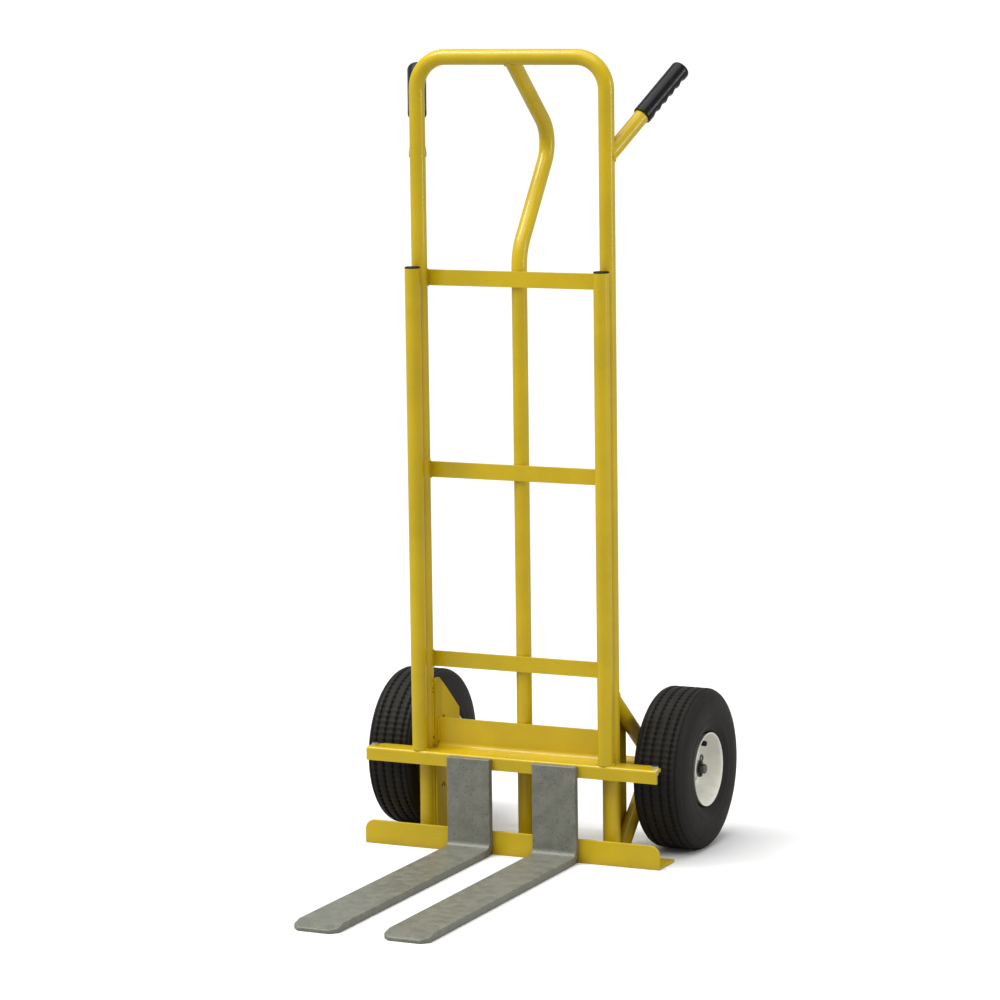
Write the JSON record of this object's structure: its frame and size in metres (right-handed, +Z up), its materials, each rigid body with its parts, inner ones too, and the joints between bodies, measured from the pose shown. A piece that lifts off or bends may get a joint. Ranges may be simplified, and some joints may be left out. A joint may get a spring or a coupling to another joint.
{
  "type": "hand truck",
  "caption": "Two-wheeled tube-frame hand truck with a loop handle, side grips, pneumatic wheels and forks that slide sideways on a short carriage.",
  "frame": {"origin": "on the floor, in the plane of the loop's legs, midway between them, on the sole of the lower angle", "axes": "+Z up, +X to the right-hand wheel seen from the front, -Y towards the fork tips"},
  "size_m": [0.5648, 0.853, 1.2954],
  "materials": {
    "frame_yellow": "gloss yellow enamel",
    "fork_grey": "satin grey hammered paint",
    "tyre_black": "matt black rubber",
    "tube_rubber": "matt black rubber",
    "rim_white": "gloss off-white enamel",
    "zinc_steel": "bright zinc plate",
    "bright_steel": "turned steel",
    "grip_black": "semi-gloss black vinyl",
    "plug_black": "matt black plastic"
  },
  "bodies": {
    "frame": {"loop_handle": "frame_yellow", "crossbar_lower": "frame_yellow", "crossbar_middle": "frame_yellow", "crossbar_top": "frame_yellow", "centre_tube": "frame_yellow", "carriage_shelf": "frame_yellow", "lower_angle": "frame_yellow", "axle_tube": "frame_yellow", "front_tube_left": "frame_yellow", "side_handle_left": "frame_yellow", "side_plate_left": "frame_yellow", "upper_strut_left": "frame_yellow", "lower_strut_left": "frame_yellow", "front_tube_right": "frame_yellow", "side_handle_right": "frame_yellow", "side_plate_right": "frame_yellow", "upper_strut_right": "frame_yellow", "lower_strut_right": "frame_yellow", "tube_plug_left": "plug_black", "tube_plug_right": "plug_black", "grip_left": "grip_black", "grip_right": "grip_black", "axle_rod": "bright_steel", "axle_washers": "zinc_steel", "axle_cotters": "zinc_steel", "stop_bolts": "zinc_steel", "stop_nuts": "zinc_steel"},
    "wheel_left": {"tyre_left": "tyre_black", "inner_tube_left": "tube_rubber", "rim_outer_left": "rim_white", "rim_inner_left": "rim_white", "hub_left": "rim_white", "bearings_left": "bright_steel", "rim_bolts_left": "zinc_steel", "rim_nuts_left": "zinc_steel", "valve_stem_left": "tube_rubber", "valve_cap_left": "plug_black"},
    "wheel_right": {"tyre_right": "tyre_black", "inner_tube_right": "tube_rubber", "rim_outer_right": "rim_white", "rim_inner_right": "rim_white", "hub_right": "rim_white", "bearings_right": "bright_steel", "rim_bolts_right": "zinc_steel", "rim_nuts_right": "zinc_steel", "valve_stem_right": "tube_rubber", "valve_cap_right": "plug_black"},
    "fork_left": {"fork_left": "fork_grey", "upper_hook_left": "fork_grey", "lower_hook_left": "fork_grey"},
    "fork_right": {"fork_right": "fork_grey", "upper_hook_right": "fork_grey", "lower_hook_right": "fork_grey"}
  },
  "joints": [
    {"name": "wheel_left_spin", "type": "hinge", "parent": "frame", "child": "wheel_left", "pos_m": [-0.238, 0.132, 0.1315], "axis": [1, 0, 0], "continuous": true},
    {"name": "wheel_right_spin", "type": "hinge", "parent": "frame", "child": "wheel_right", "pos_m": [0.238, 0.132, 0.1315], "axis": [1, 0, 0], "continuous": true},
    {"name": "fork_left_slide", "type": "slide", "parent": "frame", "child": "fork_left", "axis": [1, 0, 0], "range_m": [-0.153, 0.028]},
    {"name": "fork_right_slide", "type": "slide", "parent": "frame", "child": "fork_right", "axis": [1, 0, 0], "range_m": [-0.047, 0.1365]}
  ]
}
